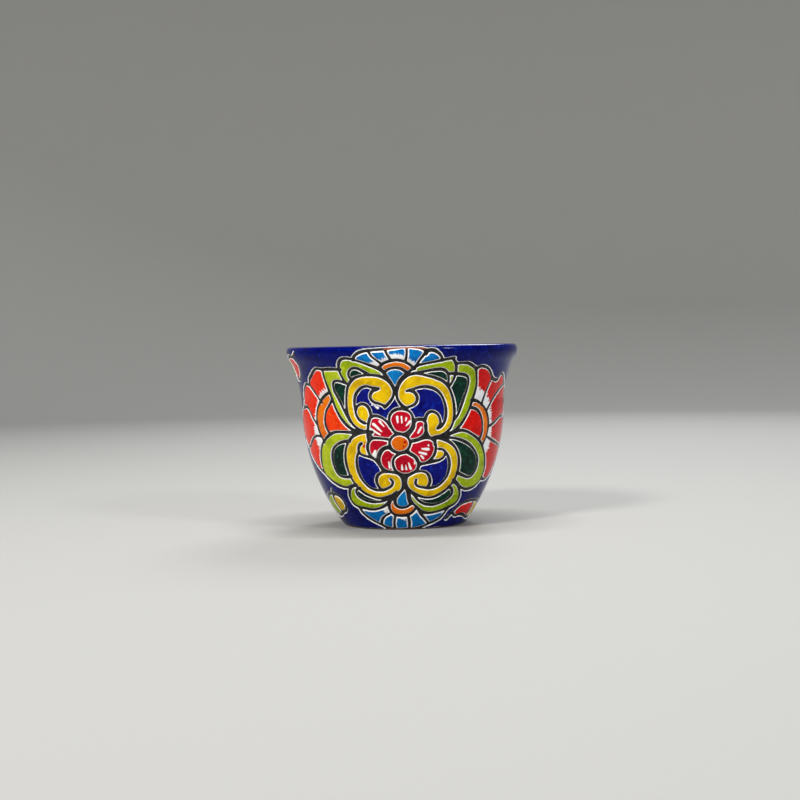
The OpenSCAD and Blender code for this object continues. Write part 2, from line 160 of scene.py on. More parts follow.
LEAF_LINES = [
    # upper left leaf and heart
    [-13,162, -16,167, -21,171.5, -29,175.5, -37,179, -45,182, -52,182, -57,177, -58.5,170,
     -57,163, -54,157],
    [-30,165.5, -35,169, -40,172, -45,172, -49,168, -49.5,163.5, -47,160.5],
    # upper right leaf and heart
    [9,171, 15,174.5, 24,176.5, 33,178.5, 40,180, 45,181],
    [44,180, 48,175, 49.5,168, 48.5,160, 45.5,153],
    [10,166, 20,168, 29,169.5, 36,169.5, 41,166, 43,160, 43,153],
    # left side, above
    [-57,171, -64,171.5, -72,171.5, -79,171],
    [-78,171, -78.5,163, -77,154, -74.5,145, -71,135, -66.5,126, -61,118, -54,111, -44,106],
    [-54,157, -61,159, -66,159, -69,156, -69,149, -65.5,142, -61,133, -56.5,124, -52.5,117.5],
    # right side, above
    [48.5,175, 55,175.5, 61,175, 66,172.5, 71,169, 73.5,162, 75.5,154, 75,146, 72,137, 68.5,128,
     63,118.5, 57,110.5, 51,105.5, 44,101.5],
    [44,165, 51,164.5, 58,163.5, 63,161, 65,155, 64,147, 61,138, 57.5,129, 54,121, 50.5,117],
    # left side, below
    [-38,106, -50,105.5, -62,106, -72,105.5, -80,102.5, -87,98, -94,92, -99,85, -103,76, -105.5,67,
     -104,59, -98,54, -90,50, -81,47, -72,46, -64,48, -57,49],
    [-55,96.5, -63,95.5, -71,92.5, -77,88, -81,81, -82.5,73, -82,65, -79,59.5, -73,57.5, -66,57.5,
     -61,58.5],
    # right side, below
    [44,101.5, 51,104, 59,105.5, 67,103.5, 74,100, 81,96, 88,90.5, 94,83, 99,76, 103.5,67,
     106.5,58, 104,49, 96,43.5, 87,41.5, 79,41.5, 70,44.5, 63,49.5, 57,53],
    [41,98.5, 50,98, 59,95.5, 68,91.5, 76,86, 83,79, 87.5,71, 88,62, 84,56, 78,54.5, 70,56.5,
     60,60.5],
    # bottom left
    [-57,49, -65,46.5, -70,41, -72.5,34, -70,27.5, -63,24.5, -54,23.5, -44,22.3, -34,23.5,
     -26,26.5, -19,31, -13,37],
    [-53,46, -58,44, -60,40, -57,35.5, -50,32.5, -42,31, -33,31, -25,32.5, -17,37],
    # bottom right
    [57,51, 64,47.5, 70,40.5, 73,33, 70.5,27, 63,23.5, 53,20.5, 42,18.3, 31,17.7, 22,20, 16,24.5,
     10,29.5, 6.5,35, 5,42],
    [10,40, 16,33, 24,28.5, 32,27, 40,27, 49,29.5, 56,33, 59.5,37.5, 57.5,43, 53,45.5],
]
FAN_LINES = [
    # over the flower: wedge, arc and outer edge
    [-7,148, -10,156, -14,163, -17,169, -19.5,173],
    [-6,149, -3,157, 1,163, 6,168, 10,171],
    [-15,168.5, -11,171, -6,172, -1,171, 4,167],
    [-20,172.5, -16,176.5, -10,179, -4,179.7, 2,178, 7,174.5, 11,170.5],
    [-42,180.5, -40,185, -36,188, -29,190, -20,191, -10,192, 2,193, 12,192.5, 19,190, 20,186],
    [20,188.5, 25,189.5, 30,187, 33,183, 34.5,178.5],
    # under the flower: wedge, arc and outer edge
    [-2,45, -7,39.5, -11,34.5, -11.5,29, -8,25.5, -2,24.5, 4,26, 8,29],
    [2,47, 4,40, 5,33, 7.5,28],
    [-17,34, -19.5,28, -19,22, -15,17.5, -8,15.7, 0,15.7, 7,17.5, 12,21, 15,25],
    [-63,24, -60,18, -53,12.5, -45,8.5, -36,5, -27,2, -14,0, 0,0, 14,0.5, 26,2.5, 36,5.5, 46,8.5,
     53,12, 57,17, 61,23],
    # right side: inner and outer line of the arc, outer edge
    [69,129, 76,127.5, 82,123, 86,115.5, 87.5,107, 87,100, 84,94],
    [71,136.5, 78,135.5, 86,131, 92.5,124.5, 96.5,116, 97.5,107, 96,98, 91,88],
    [71,169, 77,171.5, 85,170, 92,165.5, 98,159, 104,156.5, 110,157, 113,161.5, 118,162.5,
     124,159.5, 130,154, 137,151, 143,144, 146,134, 144,124, 147,113, 148,103, 146,93, 146,82,
     144,70, 138,60, 129,53, 119,49.5, 110,50, 105,52],
    # left side
    [-73,140, -77,134.5, -82,128, -84.5,120, -84.5,113, -82,107, -79,103],
    [-76,147, -83,143.5, -90,138, -96,130, -98.5,120, -97.5,109, -93,99, -90,94],
    [-78,171, -86,172, -92,169, -97,165, -103,160.5, -106,155, -113,155.5, -120,151.5, -127,144,
     -129,136, -133,130, -141,126, -146,118, -147,108, -144,98, -137,90, -131,86, -129,78, -122,71,
     -114,65, -105,60],
]
PETAL_LINES = [
    # between the petals of the fans: top, bottom, right, left
    [-28,190, -25,184, -21,179.5, -17,175.5],
    [-14,191, -12,186, -9,179.5],
    [4,192, 4,186, 3,178],
    [20,188, 16,181.5, 11,172],
    [-36,5.5, -33,11, -28,15, -21,18],
    [-16,0.5, -15.5,8, -13,16],
    [6.5,0.5, 6.5,8, 4.5,16],
    [36,6, 28,12, 22,17, 18,22],
    [98,159, 93,149, 88,138, 85,131],
    [136,151, 126,149, 117,145, 108,139, 98,130, 93,124],
    [145,123, 138,117, 128,117, 118,114.5, 108,110.5, 97,107],
    [146,86, 137,85, 127,87.5, 118,89.5, 108,92.5, 96,97],
    [-106,155, -98,146.5, -92,139.5, -88,136],
    [-131,130, -121,131, -114,127.5, -107,120, -98,112],
    [-133,87, -125,88.5, -118,93, -110,98, -102,100.5, -93,100],
]
LOOSE_LINES = [
    # low leaf on the right, low bud on the left, bud under the rim on the left
    [64,10, 69,15, 76,21, 84,25, 95,27, 110,27, 126,25.5, 140,22, 149,15],
    [73,15, 80,12, 90,13, 100,11.5, 112,8.5, 126,7, 140,9, 149,15],
    [112,26, 116,18, 113,9],
    [-103,42, -108,36, -100,37, -92,34.5, -87.5,29, -89,22.5, -95,18.5, -103,17, -116,13, -130,12,
     -142,17, -148,23, -140,29, -126,34, -114,37, -106,36.5],
    [-107,37, -111,28, -106,18],
    [-116,188, -122,184.5, -134,185, -146,181, -151,173, -146,165, -136,160.5, -126,161, -119,168,
     -117,177, -121,185],
    [-134,185, -137,173, -135,161],
]
# Half width of the carved line in each group.
LINES = [(1.75, SCROLL_LINES), (1.7, FLOWER_LINES), (1.8, LEAF_LINES), (1.85, FAN_LINES),
         (1.6, PETAL_LINES), (2.0, LOOSE_LINES)]


# ---- the fields between the lines: name, CAD node, slot, look, mesh step, seed points ----
FIELDS = [
    ("flower_disc", "flower_centre", "orange", "disc", 1.0, [(-3.5, 94)]),
    ("flower_petals", "flower_petals", "crimson", "petal", 0.8,
     [(-2, 116), (15, 108), (19, 86), (2, 72), (-17, 76), (-26, 90), (-22, 110)]),
    ("scroll_upper_left", "scrolls", "yellow", "scroll", 1.6, [(-52, 140), (-38, 129)]),
    ("scroll_upper_right", "scrolls", "yellow", "scroll", 1.6, [(45, 130)]),
    ("scroll_lower_left", "scrolls", "yellow", "scroll", 1.6, [(-56, 75)]),
    ("scroll_lower_right", "scrolls", "yellow", "scroll", 1.6, [(54, 70), (36, 81)]),
    ("window_upper_left", "blue_windows", "cobalt", "cobalt", 0.9, [(-38, 142)]),
    ("window_upper_right", "blue_windows", "cobalt", "cobalt", 1.8, [(25, 140)]),
    ("window_lower_left", "blue_windows", "cobalt", "cobalt", 1.8, [(-40, 65)]),
    ("window_lower_right", "blue_windows", "cobalt", "cobalt", 1.8, [(38, 65)]),
    ("leaves_upper", "leaves", "lime", "leaf", 1.5, [(-54, 172), (20, 171.5), (46.5, 160)]),
    ("leaf_left_upper", "leaves", "lime", "pale_leaf", 1.5, [(-73, 160)]),
    ("leaf_right_upper", "leaves", "lime", "leaf", 1.5, [(69, 150)]),
    ("leaf_left_lower", "leaves", "lime", "pale_leaf", 1.5, [(-88, 88)]),
    ("leaf_right_lower", "leaves", "lime", "leaf", 1.5, [(97, 60)]),
    ("leaves_bottom", "leaves", "lime", "leaf", 1.5, [(-66, 34), (66, 35)]),
    ("hearts_upper", "leaf_hearts", "leaf_green", "heart", 1.6,
     [(-42, 168), (34, 165), (-62, 150), (57, 150)]),
    ("hearts_lower", "leaf_hearts", "leaf_green", "heart", 1.6,
     [(-73, 75), (72, 75), (-50, 37.5), (45, 33)]),
    ("top_fan_wedge", "top_fan", "sky", "wedge", 1.2, [(-6, 166)]),
    ("top_fan_petals", "top_fan", "sky", "sky_petal", 0.9,
     [(-32, 184), (-19, 185), (-4, 186), (11, 186), (25, 184)]),
    ("top_fan_arc", "top_fan_arc", "orange", "arc", 1.3, [(-6, 176)]),
    ("bottom_fan_wedge", "bottom_fan", "sky", "wedge", 1.2, [(-4, 33)]),
    ("bottom_fan_petals", "bottom_fan", "sky", "sky_petal", 0.9,
     [(-45, 16), (-25, 9), (-4, 8), (17, 9), (40, 14)]),
    ("bottom_fan_arc", "bottom_fan_arc", "orange", "arc", 1.3, [(-5, 20)]),
    ("right_fan_upper", "side_fans", "vermilion", "red_petal", 1.1,
     [(80, 158), (110, 150), (125, 130)]),
    ("right_fan_lower", "side_fans", "vermilion", "red_petal", 1.1, [(125, 102), (125, 70)]),
    ("right_fan_arc", "side_fan_arcs", "orange", "arc", 1.3, [(91, 112)]),
    ("right_fan_sector", "side_fan_sectors", "vermilion", "red", 1.4, [(76, 112)]),
    ("left_fan_upper", "side_fans", "vermilion", "flame_petal", 1.1, [(-95, 158), (-110, 140)]),
    ("left_fan_lower", "side_fans", "vermilion", "flame_petal", 1.1, [(-120, 110), (-110, 80)]),
    ("left_fan_arc", "side_fan_arcs", "orange", "arc", 1.3, [(-92, 120)]),
    ("left_fan_sector", "side_fan_sectors", "vermilion", "flame", 1.4, [(-74, 115)]),
    ("low_leaf_red", "low_motifs", "crimson", "red", 1.3, [(95, 20)]),
    ("low_leaf_tip", "low_motifs", "yellow", "scroll", 1.3, [(130, 16)]),
    ("low_bud_yellow", "low_motifs", "yellow", "scroll", 1.3, [(-99, 28)]),
    ("low_bud_tip", "low_motifs", "lime", "leaf", 1.3, [(-125, 24)]),
    ("rim_bud_red", "rim_bud", "crimson", "red", 1.3, [(-127, 173)]),
    ("rim_bud_tip", "rim_bud", "lime", "leaf", 1.3, [(-143, 173)]),
    ("ground", "blue_ground", "cobalt", "ground", 2.6, [(0, 197), (-90, 8)]),
]
SHARED_NODES = {"blue_ground"}
FLOWER_C = (-3.5, 94)
# Fans painted from their outer edge inwards: centre, radius where the colour gives out.
FANS = {"top_fan_petals": ((-6, 157), 28), "bottom_fan_petals": ((-3, 46), 33.5),
        "right_fan_upper": ((48, 104), 56), "right_fan_lower": ((48, 104), 56),
        "left_fan_upper": ((-50, 106), 54), "left_fan_lower": ((-50, 106), 54)}
# White brush marks left in the colour: from, to, half width at each end.
MARKS = {
    "flower_petals": [
        ((-5.5, 122), (-5, 116), 1.2, 0.7), ((-1.5, 122), (-1, 115.5), 0.8, 0.5),
        ((3, 120.5), (2.5, 118), 0.9, 0.7), ((6.5, 117), (3, 112.5), 1.2, 0.6),
        ((17, 110.5), (14, 105), 0.9, 0.9), ((24, 92), (24.5, 91), 0.8, 0.6),
        ((24, 87.5), (18, 88), 1.6, 0.8), ((22, 82.5), (15.5, 84.5), 1.2, 1.0),
        ((19.5, 78), (17, 81), 1.0, 0.9), ((-1.7, 67), (-2, 72), 1.2, 0.4),
        ((2.4, 67), (2, 71.5), 1.0, 0.4), ((7, 67.5), (4.6, 73.5), 1.3, 0.5),
        ((11, 72.5), (10.5, 75), 0.8, 0.4), ((-15, 75), (-14.5, 69), 0.6, 1.2),
        ((-28, 86.5), (-29.5, 82), 1.2, 2.2), ((-28, 114.5), (-20.5, 107), 1.5, 0.7),
        ((-22, 117.5), (-18, 112), 1.1, 0.5), ((-31, 109.5), (-22, 103.5), 1.4, 0.6)],
    "window_upper_left": [((-27.5, 134.5), (-23.5, 131.5), 0.2, 1.3),
                          ((-30.5, 137.5), (-28.5, 134), 0.1, 0.5)],
}
# Red touches on other colours: centre and radius.
DOTS = {"flower_disc": [((1.5, 95.5), 1.6), ((0, 91), 1.1)],
        "scroll_lower_left": [((-39, 91.5), 1.9), ((-38, 95), 0.9)]}

# ---- the distance field on a raster of one side ----
RASTER_U = np.linspace(-HALF_TURN, HALF_TURN, 786)
RASTER_V = np.linspace(-2.8, 198.0, 503)
REACH = 9.0


def vary(points, side):
    """The back is drawn again by hand: the same strokes, each a little off."""
    p = np.array(points, float).reshape(-1, 2)
    if side == "back":
        u, v = p[:, 0].copy(), p[:, 1].copy()
        fade = np.cos(np.clip(u / HALF_TURN, -1, 1) * math.pi / 2) ** 0.5
        p[:, 0] += fade * (1.3 * np.sin(v / 23 + 1) + 0.8 * np.sin(u / 17))
        inner = np.minimum(np.minimum(v / 30, (200 - v) / 30), 1)
        p[:, 1] += inner * fade * 1.4 * np.sin(u / 21 + 2)
    return p


def spline(p, step=1.2):
    """Catmull-Rom curve through the points, closed if the ends meet."""
    ends = (p[-2], p[1]) if np.allclose(p[0], p[-1]) else (2 * p[0] - p[1], 2 * p[-1] - p[-2])
    q = np.vstack([ends[0], p, ends[1]])
    out = []
    for a, b, c, d in zip(q, q[1:], q[2:], q[3:]):
        n = max(2, int(np.hypot(*(c - b)) / step))
        t = (np.arange(n) / n)[:, None]
        out.append(0.5 * (2 * b + (c - a) * t + (2 * a - 5 * b + 4 * c - d) * t * t
                          + (3 * b - a - 3 * c + d) * t ** 3))
    out.append(p[-1:])
    return np.vstack(out)


def soft_min(a, b, k=1.0):
    """The smaller of two distances, blended where they come within k mm."""
    h = np.clip(0.5 + 0.5 * (a - b) / k, 0, 1)
    return b * h + a * (1 - h) - k * h * (1 - h)


def line_distance(side):
    """Distance in mm from the edge of the nearest carved line, negative inside it."""
    field = np.full((len(RASTER_V), len(RASTER_U)), REACH)
    across = outer_r(RASTER_V)[:, None] / 100
    along = np.sqrt(1 + (outer_r(RASTER_V + 0.5) - outer_r(RASTER_V - 0.5)) ** 2)[:, None]
    for half_width, group in LINES:
        for stroke in group:
            p = spline(vary(stroke, side))
            wide = half_width * (1 + 0.12 * np.sin(np.arange(len(p)) * 0.23 + p[0, 0]))
            box = window(p, REACH)
            best = np.full(field[box].shape, REACH)
            for k in range(len(p) - 1):
                near = window(p[k:k + 2], REACH)
                a, b = across[near[0]], along[near[0]]
                du = (RASTER_U[None, near[1]] - p[k, 0]) * a
                dv = (RASTER_V[near[0], None] - p[k, 1]) * b
                eu, ev = (p[k + 1, 0] - p[k, 0]) * a, (p[k + 1, 1] - p[k, 1]) * b
                t = np.clip((du * eu + dv * ev) / (eu * eu + ev * ev + 1e-9), 0, 1)
                d = np.hypot(du - t * eu, dv - t * ev) - wide[k]
                part = best[near[0].start - box[0].start:near[0].stop - box[0].start,
                            near[1].start - box[1].start:near[1].stop - box[1].start]
                np.minimum(part, d, out=part)
            field[box] = soft_min(field[box], best)
    # the ground enamel stops unevenly just over the foot
    angle = RASTER_U / 100 + SIDES[side]
    foot = 0.7 + 0.25 * np.sin(5 * angle) + 0.2 * np.sin(12 * angle + 1)
    return soft_min(field, (RASTER_V[:, None] - foot[None, :]) * along)


def window(points, margin):
    """Raster rows and columns that hold the points with a margin round them."""
    u0, v0 = points.min(0) - margin
    u1, v1 = points.max(0) + margin
    rows = slice(int(np.searchsorted(RASTER_V, v0)), int(np.searchsorted(RASTER_V, v1)))
    cols = slice(int(np.searchsorted(RASTER_U, u0)), int(np.searchsorted(RASTER_U, u1)))
    return rows, cols


def number_fields(distance):
    """Numbers the closed fields of the raster, 0 in the lines."""
    free = distance > 0
    runs, labels, parent = [], np.zeros(free.shape, int), [0]

    def root(k):
        while parent[k] != k:
            parent[k] = parent[parent[k]]
            k = parent[k]
        return k

    for j, row in enumerate(free):
        edges = np.flatnonzero(np.diff(np.concatenate([[0], row.astype(int), [0]])))
        for start, stop in zip(edges[::2], edges[1::2]):
            above = np.unique(labels[j - 1, start:stop]) if j else np.array([0])
            touching = [root(k) for k in above if k]
            name = min(touching) if touching else len(parent)
            if not touching:
                parent.append(name)
            for k in touching:
                parent[k] = name
            labels[j, start:stop] = name
            runs.append((j, start, stop, name))
    for j, start, stop, name in runs:
        labels[j, start:stop] = root(name)
    return labels


class Patch:
    """A window of the raster with its coordinates."""

    def __init__(self, grid, rows=slice(None), cols=slice(None)):
        self.grid, self.us, self.vs = grid, RASTER_U[cols], RASTER_V[rows]

    def at(self, u, v):
        """Value between the raster's points."""
        x = np.clip((u - self.us[0]) / (self.us[1] - self.us[0]), 0, len(self.us) - 1.001)
        y = np.clip((v - self.vs[0]) / (self.vs[1] - self.vs[0]), 0, len(self.vs) - 1.001)
        i, j = x.astype(int), y.astype(int)
        fx, fy = x - i, y - j
        low = self.grid[j, i] * (1 - fx) + self.grid[j, i + 1] * fx
        high = self.grid[j + 1, i] * (1 - fx) + self.grid[j + 1, i + 1] * fx
        return low * (1 - fy) + high * fy


# Which sides of a cell a contour joins for each pattern of corners above the level.
# Corners count 1, 2, 4, 8 anticlockwise from the lower left; sides are B, R, T, L.
JOINS = {1: ["BL"], 2: ["RB"], 3: ["RL"], 4: ["TR"], 5: ["BL", "TR"], 6: ["TB"], 7: ["TL"],
         8: ["LT"], 9: ["BT"], 10: ["RB", "LT"], 11: ["RT"], 12: ["LR"], 13: ["BR"], 14: ["LB"]}


def contours(patch, level):
    """Closed loops of (u, v) points where the patch passes the level, its border being outside."""
    grid = np.pad(patch.grid, 1, constant_values=-2.0)
    us = np.pad(patch.us, 1, mode="edge")
    vs = np.pad(patch.vs, 1, mode="edge")
    above = (grid > level).astype(int)
    code = above[:-1, :-1] + 2 * above[:-1, 1:] + 4 * above[1:, 1:] + 8 * above[1:, :-1]
    wide, half = grid.shape[1], grid.size
    follow = {}
    for pattern, joins in JOINS.items():
        j, i = np.nonzero(code == pattern)
        low = j * wide + i
        side_id = {"B": low, "T": low + wide, "L": half + low, "R": half + low + 1}
        for start, stop in joins:
            follow.update(zip(side_id[start].tolist(), side_id[stop].tolist()))
    loops = []
    while follow:
        first, here = follow.popitem()
        ids = [first]
        while here != first and here in follow:
            ids.append(here)
            here = follow.pop(here)
        ids = np.array(ids)
        upright = ids >= half
        k = np.where(upright, ids - half, ids)
        j, i = k // wide, k % wide
        j2, i2 = np.where(upright, j + 1, j), np.where(upright, i, i + 1)
        t = (level - grid[j, i]) / (grid[j2, i2] - grid[j, i])
        u, v = us[i] + (us[i2] - us[i]) * t, vs[j] + (vs[j2] - vs[j]) * t
        loops.append(np.stack([u, v], -1))
    return loops


def even(loop, step):
    """The loop again with points an even step apart."""
    ring = np.vstack([loop, loop[:1]])
    length = np.concatenate([[0], np.cumsum(np.hypot(*np.diff(ring, axis=0).T))])
    n = max(6, int(round(length[-1] / step)))
    at = np.linspace(0, length[-1], n, endpoint=False)
    return np.stack([np.interp(at, length, ring[:, 0]), np.interp(at, length, ring[:, 1])], -1)


# ---- enamel puddles ----
TILE_EDGE = -0.3
SHOULDER = [(TILE_EDGE, 0.8), (0.0, 0.8), (0.35, 0.8), (0.8, 0.9), (1.4, 1.1)]


def puddle_depth(edge):
    """How far the enamel lies under the full surface, by distance from the carved line."""
    s = np.maximum(edge - TILE_EDGE, 0)
    return 0.95 * np.exp(-(s / 0.6) ** 1.35) + 0.2 * np.exp(-s / 2.2)


def bed_depth(edge):
    """The carved line is a shallow gouge, lowest along its middle."""
    gouge = 0.78 + 0.22 * np.clip(-edge / 1.6, 0, 1) ** 1.2
    return np.minimum(gouge + np.maximum(edge + 0.2, 0) * 1.5, 1.75)


def seam_points():
    """Points on both ends of the unrolled side at the same heights, so the two sides weld."""
    rows = np.append(RASTER_V[::3], RASTER_V[-1])
    return np.vstack([np.stack([np.full(len(rows), s * HALF_TURN), rows], -1) for s in (-1, 1)])


def spread(mask, times):
    """The mask grown by some cells."""
    for _ in range(times):
        grown = np.pad(mask, 1)
        mask = (grown[1:-1, 1:-1] | grown[:-2, 1:-1] | grown[2:, 1:-1]
                | grown[1:-1, :-2] | grown[1:-1, 2:])
    return mask


def puddle(distance, labels, label, step):
    """Flat mesh of one field: points, triangles and each point's distance from the line."""
    rows, cols = (np.flatnonzero((labels == label).any(axis)) for axis in (1, 0))
    rows = slice(max(rows[0] - 4, 0), rows[-1] + 5)
    cols = slice(max(cols[0] - 4, 0), cols[-1] + 5)
    mine = labels[rows, cols] == label
    near = spread(mine, 2) & (mine | (labels[rows, cols] == 0))
    patch = Patch(np.where(near, distance[rows, cols], -2.0), rows, cols)
    parts = [even(loop, gap) for level, gap in SHOULDER for loop in contours(patch, level)]
    u = np.arange(patch.us[0], patch.us[-1] + step, step)
    v = np.arange(patch.vs[0], patch.vs[-1] + step, step * 0.87)
    grid_u, grid_v = np.meshgrid(u, v)
    grid_u = grid_u + (np.arange(len(v)) % 2)[:, None] * step / 2
    inner = np.stack([grid_u.ravel(), grid_v.ravel()], -1)
    within = (inner[:, 0] < patch.us[-1] - step / 2) & (inner[:, 1] < patch.vs[-1] - step / 2)
    inner = inner[within & (inner[:, 0] > patch.us[0] + step / 2)]
    parts.append(inner[patch.at(*inner.T) > SHOULDER[-1][0] + step * 0.45])
    points = np.vstack(parts)
    by_seam = HALF_TURN - np.abs(points[:, 0]) < 0.5
    if by_seam.any():
        seam = seam_points()
        points = np.vstack([points[~by_seam], seam[patch.at(*seam.T) > TILE_EDGE + 0.05]])
    flat, _, faces = delaunay_2d_cdt([Vector(p) for p in points], [], [], 0, 1e-4)[:3]
    flat = np.array([tuple(p) for p in flat])
    faces = np.array([f for f in faces if len(f) == 3])
    centre = flat[faces].mean(1)
    faces = faces[patch.at(*centre.T) > TILE_EDGE]
    return flat, faces, patch.at(*flat.T)


def linear(*srgb):
    """Shader colour from 0-255 display values."""
    rgb = (((c / 255 + 0.055) / 1.055) ** 2.4 if c > 10 else c / 255 / 12.92 for c in srgb)
    return tuple(rgb) + (1.0,)


# ---- shader building ----
def add(tree, kind, **values):
    """New node. A value named after an input sets that input, any other a property."""
    node = tree.nodes.new("ShaderNode" + kind)
    for key, value in values.items():
        name = key.replace("_", " ")
        if name in node.inputs:
            node.inputs[name].default_value = value
        else:
            setattr(node, key, value)
    return node


def wire(tree, source, target):
    tree.links.new(source, target)


def feed(tree, socket, value):
    """Sets the socket to a number or colour, or links another socket to it."""
    if isinstance(value, (int, float, tuple)):
        socket.default_value = value
    else:
        wire(tree, value, socket)


def calc(tree, operation, *values):
    """Math node on sockets or numbers."""
    node = add(tree, "Math", operation=operation)
    for socket, value in zip(node.inputs, values):
        feed(tree, socket, value)
    return node.outputs[0]


def plus(tree, a, b):
    return calc(tree, "ADD", a, b)


def times(tree, a, b):
    return calc(tree, "MULTIPLY", a, b)


def weigh(tree, a, share_a, b, share_b):
    """Sum of two sockets, each times its share."""
    return plus(tree, times(tree, a, share_a), times(tree, b, share_b))


def swing(tree, value, amount):
    """Noise about 0 instead of a half, times an amount."""
    return times(tree, calc(tree, "SUBTRACT", value, 0.5), amount)


def step_mask(tree, value, low, high):
    """0 below low, 1 above high, smooth between. Works falling too when low > high."""
    node = add(tree, "MapRange", interpolation_type="SMOOTHSTEP")
    wire(tree, value, node.inputs["Value"])
    feed(tree, node.inputs["From Min"], low)
    feed(tree, node.inputs["From Max"], high)
    return node.outputs["Result"]


def blend(tree, mask, a, b):
    """Colour a where the mask is 0, b where it is 1."""
    node = add(tree, "Mix", data_type="RGBA")
    for number, value in ((0, mask), (6, a), (7, b)):
        feed(tree, node.inputs[number], value)
    return node.outputs[2]


def noise(tree, where, size, detail):
    """Noise from 0 to 1 with features about size mm across."""
    node = add(tree, "TexNoise", Scale=1.0 / size, Detail=detail)
    wire(tree, where, node.inputs["Vector"])
    return node.outputs["Fac"]


def in_mm(tree):
    """Place on the pot in mm."""
    place = add(tree, "TexCoord").outputs["Object"]
    node = add(tree, "VectorMath", operation="SCALE", Scale=1000.0)
    wire(tree, place, node.inputs[0])
    return node.outputs[0]


def attribute(tree, name, output="Fac"):
    return add(tree, "Attribute", attribute_name=name).outputs[output]


def new_group(name, inputs, outputs):
    """Shader group. inputs are rows of name, kind and default, outputs of name and kind."""
    tree = bpy.data.node_groups.new(name, "ShaderNodeTree")
    for label, kind, default in inputs:
        socket = tree.interface.new_socket(label, in_out="INPUT", socket_type="NodeSocket" + kind)
        socket.default_value = default
    for label, kind in outputs:
        tree.interface.new_socket(label, in_out="OUTPUT", socket_type="NodeSocket" + kind)
    return tree, tree.nodes.new("NodeGroupInput").outputs, tree.nodes.new("NodeGroupOutput").inputs


def enamel_group():
    """Hand-painted enamel: mottled colour, brushed second colour, bare white along the line."""
    white, grey = linear(250, 250, 250), linear(128, 128, 128)
    tree, given, out = new_group(
        "painted_enamel",
        [("Colour", "Color", grey), ("Thick Colour", "Color", grey), ("Thin Colour", "Color", grey),
         ("Brushed Colour", "Color", white), ("Brushed Thick", "Color", white),
         ("Bare Colour", "Color", white), ("Bare Width", "Float", 0.8),
         ("Feather", "Float", 1.0), ("Mottle", "Float", 0.5)],
        [("Colour", "Color"), ("Height", "Float"), ("Roughness", "Float")])
    place = in_mm(tree)
    edge = attribute(tree, "edge")
    split = add(tree, "SeparateXYZ")
    wire(tree, attribute(tree, "brush", "Vector"), split.inputs[0])
    paint, along, across = split.outputs
    stretched = add(tree, "CombineXYZ")
    wire(tree, times(tree, along, 0.12), stretched.inputs[0])
    wire(tree, across, stretched.inputs[1])
    hairs = noise(tree, stretched.outputs[0], 0.75, 3.0)
    wide_hairs = noise(tree, stretched.outputs[0], 2.2, 1.0)
    broad, patchy = noise(tree, place, 16, 2.0), noise(tree, place, 4.5, 3.0)
    fine = noise(tree, place, 1.1, 2.0)
    # thick and thin enamel
    thick = weigh(tree, broad, 0.8, wide_hairs, 0.2)
    thick_mask = times(tree, step_mask(tree, thick, 0.42, 0.66), given["Mottle"])
    colour = blend(tree, thick_mask, given["Colour"], given["Thick Colour"])
    thin = weigh(tree, patchy, 0.8, hairs, 0.2)
    thin_mask = times(tree, step_mask(tree, thin, 0.5, 0.7), given["Mottle"])
    colour = blend(tree, thin_mask, colour, given["Thin Colour"])
    # the second colour, feathered along the brush
    ragged = swing(tree, hairs, times(tree, given["Feather"], 4.0))
    painted = step_mask(tree, plus(tree, paint, ragged), -0.35, 0.35)
    loaded = step_mask(tree, weigh(tree, patchy, 0.6, hairs, 0.4), 0.45, 0.65)
    second = blend(tree, loaded, given["Brushed Colour"], given["Brushed Thick"])
    colour = blend(tree, painted, colour, second)
    # bare white along the carved line
    wander = plus(tree, swing(tree, patchy, 1.1), swing(tree, fine, 0.7))
    width = given["Bare Width"]
    bare = step_mask(tree, plus(tree, edge, wander), plus(tree, width, 0.18),
                     calc(tree, "SUBTRACT", width, 0.18))
    wire(tree, blend(tree, bare, colour, given["Bare Colour"]), out["Colour"])
    wire(tree, weigh(tree, patchy, 0.6, fine, 0.25), out["Height"])
    wire(tree, plus(tree, 0.05, times(tree, patchy, 0.1)), out["Roughness"])
    return tree


def clay_group():
    """Fired red clay: sandy colour, pits, and rings from the wheel."""
    tree, given, out = new_group(
        "red_clay",
        [("Colour", "Color", linear(176, 104, 70)), ("Dark Colour", "Color", linear(128, 70, 46)),
         ("Pale Colour", "Color", linear(206, 150, 112)),
         ("Bottom Colour", "Color", linear(84, 56, 42))],
        [("Colour", "Color"), ("Height", "Float"), ("Roughness", "Float")])
    place = in_mm(tree)
    broad, fine = noise(tree, place, 30, 4.0), noise(tree, place, 3.0, 4.0)
    grit = noise(tree, place, 0.6, 2.0)
    colour = blend(tree, step_mask(tree, broad, 0.4, 0.65), given["Colour"], given["Dark Colour"])
    pale = times(tree, step_mask(tree, fine, 0.5, 0.75), 0.7)
    colour = blend(tree, pale, colour, given["Pale Colour"])
    colour = blend(tree, step_mask(tree, grit, 0.68, 0.74), colour, given["Dark Colour"])
    split = add(tree, "SeparateXYZ")
    wire(tree, place, split.inputs[0])
    up = split.outputs[2]
    # Darker towards the bottom: the clay within a few mm of the floor, at the foot and the recess
    # under it, takes the darker bottom colour.
    near_bottom = plus(tree, up, times(tree, fine, 4.0))
    colour = blend(tree, step_mask(tree, near_bottom, 7.0, 3.0), colour, given["Bottom Colour"])
    rings = calc(tree, "SINE", weigh(tree, up, 1.5, broad, 6.0))
    wire(tree, colour, out["Colour"])
    wire(tree, plus(tree, times(tree, rings, 0.35), plus(tree, fine, grit)), out["Height"])
    wire(tree, plus(tree, 0.7, times(tree, fine, 0.2)), out["Roughness"])
    return tree


